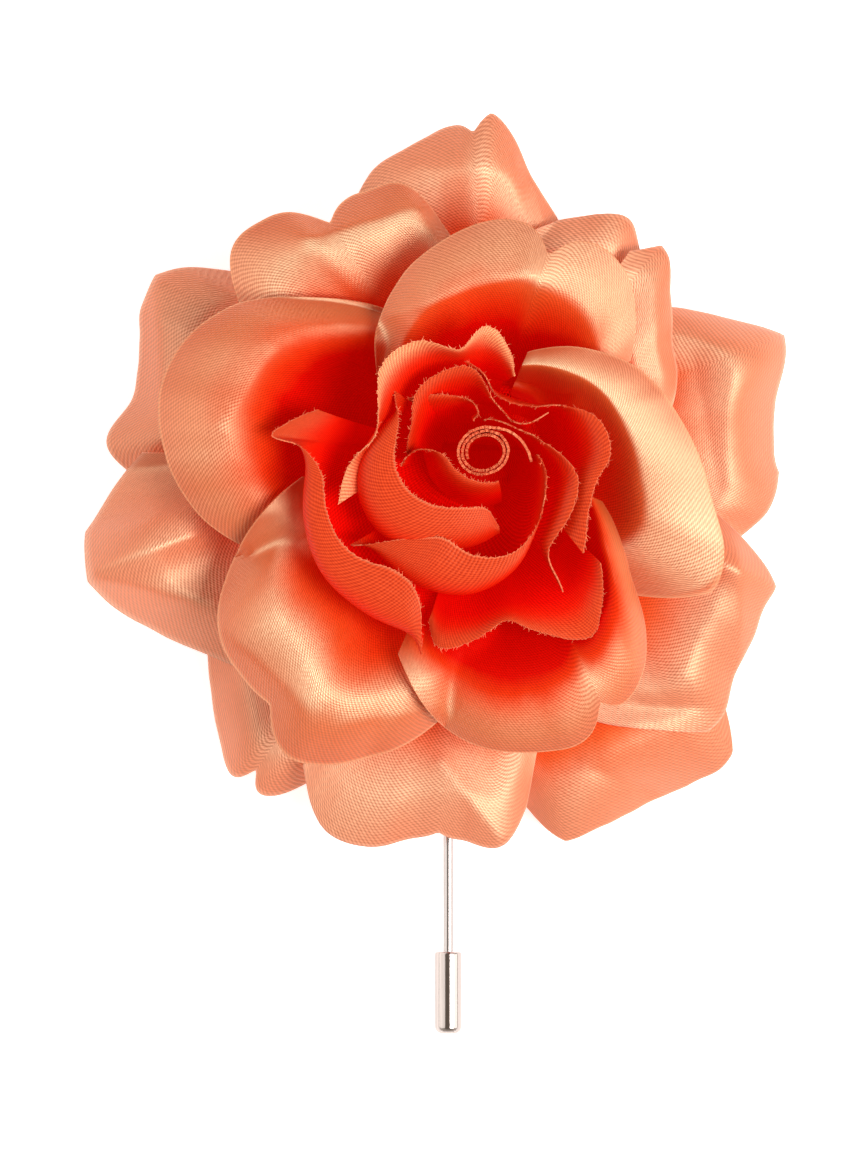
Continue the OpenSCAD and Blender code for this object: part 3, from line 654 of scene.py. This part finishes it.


# The same satin in four places, each with painted light: the cupped petals with a narrow bright painted
# highlight, the standing petals deep in the rose as a redder, shaded copy with little of it, the inner petal
# with a broader painted highlight on its turned-up side, and the level outer ring with a broad painted
# highlight. Each is painted deep red toward the root for the shade in the cups.
coral = satin_cloth("coral satin", ((0.0, "#C20602"), (0.48, "#C60A03"), (0.58, "#D0340E"),
                    (0.70, "#D44E1C"), (0.86, "#CC5826"), (1.0, "#C4522C")), "#F8D0A6", "#DC8A60",
                    tilt=0.22, shine=1.7, ribs_at=38)
rose = satin_cloth("shaded coral satin", ((0.0, "#D60602"), (0.45, "#DA0A04"), (0.78, "#D82408"),
                   (1.0, "#CA2E0F")), "#D44620", "#E47A54", tilt=0.50, shine=0.25, ribs_at=20)
inner = satin_cloth("inner petal satin", ((0.0, "#DC0602"), (0.40, "#E00A04"), (0.70, "#DE280C"),
                    (1.0, "#D63E18")), "#F09A66", "#EC9468", tilt=0.60, shine=0.7, ribs_at=20)
outer_satin = satin_cloth("outer petal satin", ((0.0, "#DC2008"), (0.40, "#DE461A"), (0.60, "#DA602E"),
                   (1.0, "#D06C48")), "#F6C09A", "#E0987C", tilt=0.32, shine=1.5, ribs_at=50)

NAMES = [f"outer_petal_{n}" for n in range(1, 11)] + [f"middle_petal_{n}" for n in range(1, 7)]
for row, node in enumerate(NAMES):
    lay_cloth(node, partial(flat_cloth, row), 96, 64, coral if FLAT[row].ring else outer_satin, waves=0.2,
              seed=row, red_shade_reach=RED_SHADE_REACH.get(row, 1.0))
# The standing petals have their painted red shade spread further out, inner_petal_3 the most
for number, (node, rows) in enumerate(STANDING.items()):
    cells_a_fold = 30 if node.startswith("inner") else 24
    lay_cloth(node, partial(standing_cloth, rows), cells_a_fold * (len(rows) - 2), 34,
              inner if node == "inner_petal_2" else rose, waves=0.12, seed=100 + number, fray=0.8,
              thickness=FINE_SATIN_T, red_shade_reach=2.0 if node == "inner_petal_3" else 1.2)
lay_cloth("roll", spiral_points, 360, 26, rose, waves=0.0, seed=300, fray=2.0)
gathered_heart(rose)
back_felt(wool_felt("coral felt"))

wire = polished_steel("nickel plated wire", ("#AFA6A2", "#BDB4B0"), (9000.0, 60.0, 9000.0))
capping = polished_steel("nickel plated cap", ("#B4A8A2", "#C4B8B2"), (5000.0, 120.0, 5000.0))
for node, material in (("pin", wire), ("cap", capping)):
    # The metal solids show as the CAD has them and only get their material
    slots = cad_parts[node].data.materials
    for k in range(len(slots)):
        slots[k] = material

bpy.ops.object.select_all(action="DESELECT")
bpy.ops.mesh.primitive_plane_add(size=3.0, location=(0, 0, 0))
table = bpy.context.object
table.name = table.data.name = "white_table"
table.data.materials.append(white_table("white sweep"))


def soft_box(name, at, width, tall, power):
    """A white soft box that faces the flower, 15 mm over the table."""
    light = bpy.data.lights.new(name, "AREA")
    light.shape = "RECTANGLE"
    light.size, light.size_y, light.energy = width, tall, power
    lamp = bpy.data.objects.new(name, light)
    lamp.location = at
    lamp.rotation_euler = (Vector((0, 0, 0.015)) - Vector(at)).to_track_quat("-Z", "Y").to_euler()
    bpy.context.scene.collection.objects.link(lamp)


soft_box("key light from the right", (0.47, -0.14, 0.8), 0.34, 0.5, 7.2)
soft_box("fill light from the left", (-0.8, 0.15, 0.55), 0.9, 1.1, 3.8)
soft_box("white card on the right", (0.85, -0.1, 0.5), 0.6, 0.8, 2.6)

# Pale studio walls all round, and a dim ceiling that draws the dark line along the metal
sky = bpy.data.worlds.new("studio")
sky.use_nodes = True
heading = add(sky.node_tree, "ShaderNodeTexCoord").outputs["Generated"]
up = add(sky.node_tree, "ShaderNodeSeparateXYZ", {"Vector": heading}).outputs["Z"]
wall = add(sky.node_tree, "ShaderNodeValToRGB", {"Fac": up},
           ((0.0, "#FFFAF6"), (0.45, "#E8E2DC"), (0.80, "#8E847C"), (1.0, "#887C72"))).outputs["Color"]
backdrop = sky.node_tree.nodes["Background"]
sky.node_tree.links.new(wall, backdrop.inputs["Color"])
backdrop.inputs["Strength"].default_value = 0.8
bpy.context.scene.world = sky
# The hex colours are matched as they come, without a film curve over them
bpy.context.scene.view_settings.view_transform = "Standard"

# The camera looks straight down from 1.5 m and frames 138.84 mm of the table from top to bottom,
# 0.12 mm to each of the photo's 1157 rows. It stands one such row and column off the middle.
lens = bpy.data.cameras.new("camera")
lens.sensor_fit = "VERTICAL"
lens.sensor_height = 24.0
lens.lens = lens.sensor_height * 1500 / 138.84
lens.clip_end = 10
camera = bpy.data.objects.new("camera", lens)
camera.location = (-0.00012, -0.00012, 1.5)
bpy.context.scene.collection.objects.link(camera)
bpy.context.scene.camera = camera
